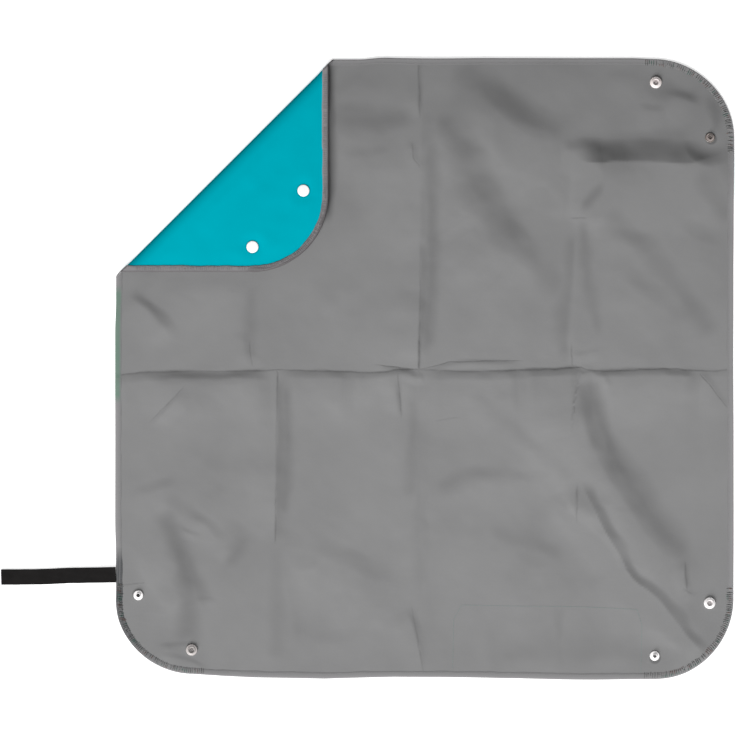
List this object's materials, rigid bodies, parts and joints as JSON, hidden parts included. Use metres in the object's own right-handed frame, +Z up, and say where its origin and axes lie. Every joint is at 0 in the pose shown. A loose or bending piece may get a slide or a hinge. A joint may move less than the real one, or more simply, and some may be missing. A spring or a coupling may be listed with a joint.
{
  "type": "repotting mat",
  "caption": "Square two-ply repotting mat lying flat, one corner folded over its face, bound edge, a press socket and stud at each corner, elastic strap.",
  "frame": {"origin": "middle of the footprint, strap included, on the surface that the mat lies on; the square itself is centred 73.75 mm towards +X", "axes": "+Z up, out of the grey face; +X along the near edge, away from the strap; +Y towards the far edge"},
  "size_m": [0.9492, 0.8, 0.0074],
  "materials": {
    "grey_face": "matte coated cloth",
    "teal_backing": "smooth coated cloth",
    "edge_tape": "fine grosgrain tape",
    "fastener_cap": "glossy white",
    "fastener": "satin, pale grey",
    "webbing": "woven elastic"
  },
  "bodies": {
    "near_half": {"near_backing_ply": "teal_backing", "near_face_ply": "grey_face", "near_edge_binding": "edge_tape", "near_left_side_binding": "edge_tape", "near_right_side_binding": "edge_tape"},
    "far_half": {"far_backing_ply": "teal_backing", "far_face_ply": "grey_face", "far_edge_binding": "edge_tape", "far_left_side_binding": "edge_tape", "far_right_side_binding": "edge_tape"},
    "far_left_corner": {"far_left_backing_ply": "teal_backing", "far_left_face_ply": "grey_face", "far_left_corner_binding": "edge_tape", "far_left_socket_cap": "fastener_cap", "far_left_socket": "fastener", "far_left_stud_cap": "fastener_cap", "far_left_stud": "fastener"},
    "far_right_corner": {"far_right_backing_ply": "teal_backing", "far_right_face_ply": "grey_face", "far_right_corner_binding": "edge_tape", "far_right_socket_cap": "fastener_cap", "far_right_socket": "fastener", "far_right_stud_cap": "fastener_cap", "far_right_stud": "fastener"},
    "near_left_corner": {"near_left_backing_ply": "teal_backing", "near_left_face_ply": "grey_face", "near_left_corner_binding": "edge_tape", "near_left_socket_cap": "fastener_cap", "near_left_socket": "fastener", "near_left_stud_cap": "fastener_cap", "near_left_stud": "fastener"},
    "near_right_corner": {"near_right_backing_ply": "teal_backing", "near_right_face_ply": "grey_face", "near_right_corner_binding": "edge_tape", "near_right_socket_cap": "fastener_cap", "near_right_socket": "fastener", "near_right_stud_cap": "fastener_cap", "near_right_stud": "fastener"},
    "strap": {"elastic_strap": "webbing"}
  },
  "joints": [
    {"name": "half_fold", "type": "hinge", "parent": "near_half", "child": "far_half", "pos_m": [0.0745, 0, 0.0076], "axis": [1, 0, 0], "range_deg": [0, 180]},
    {"name": "far_left_fold", "type": "hinge", "parent": "far_half", "child": "far_left_corner", "pos_m": [-0.1875, 0.262, 0.0037], "axis": [-0.7071, -0.7071, 0], "range_deg": [0, 180]},
    {"name": "far_right_fold", "type": "hinge", "parent": "far_half", "child": "far_right_corner", "pos_m": [0.3365, 0.262, 0.0037], "axis": [0.7071, -0.7071, 0], "range_deg": [0, 180]},
    {"name": "near_left_fold", "type": "hinge", "parent": "near_half", "child": "near_left_corner", "pos_m": [-0.1875, -0.262, 0.0037], "axis": [-0.7071, 0.7071, 0], "range_deg": [0, 180]},
    {"name": "near_right_fold", "type": "hinge", "parent": "near_half", "child": "near_right_corner", "pos_m": [0.3365, -0.262, 0.0037], "axis": [-0.7071, -0.7071, 0], "range_deg": [0, 180]},
    {"name": "strap_swing", "type": "hinge", "parent": "near_left_corner", "child": "strap", "pos_m": [-0.3255, -0.2682, 0.0024], "axis": [-0.0236, 0.9997, 0], "range_deg": [0, 180]}
  ]
}
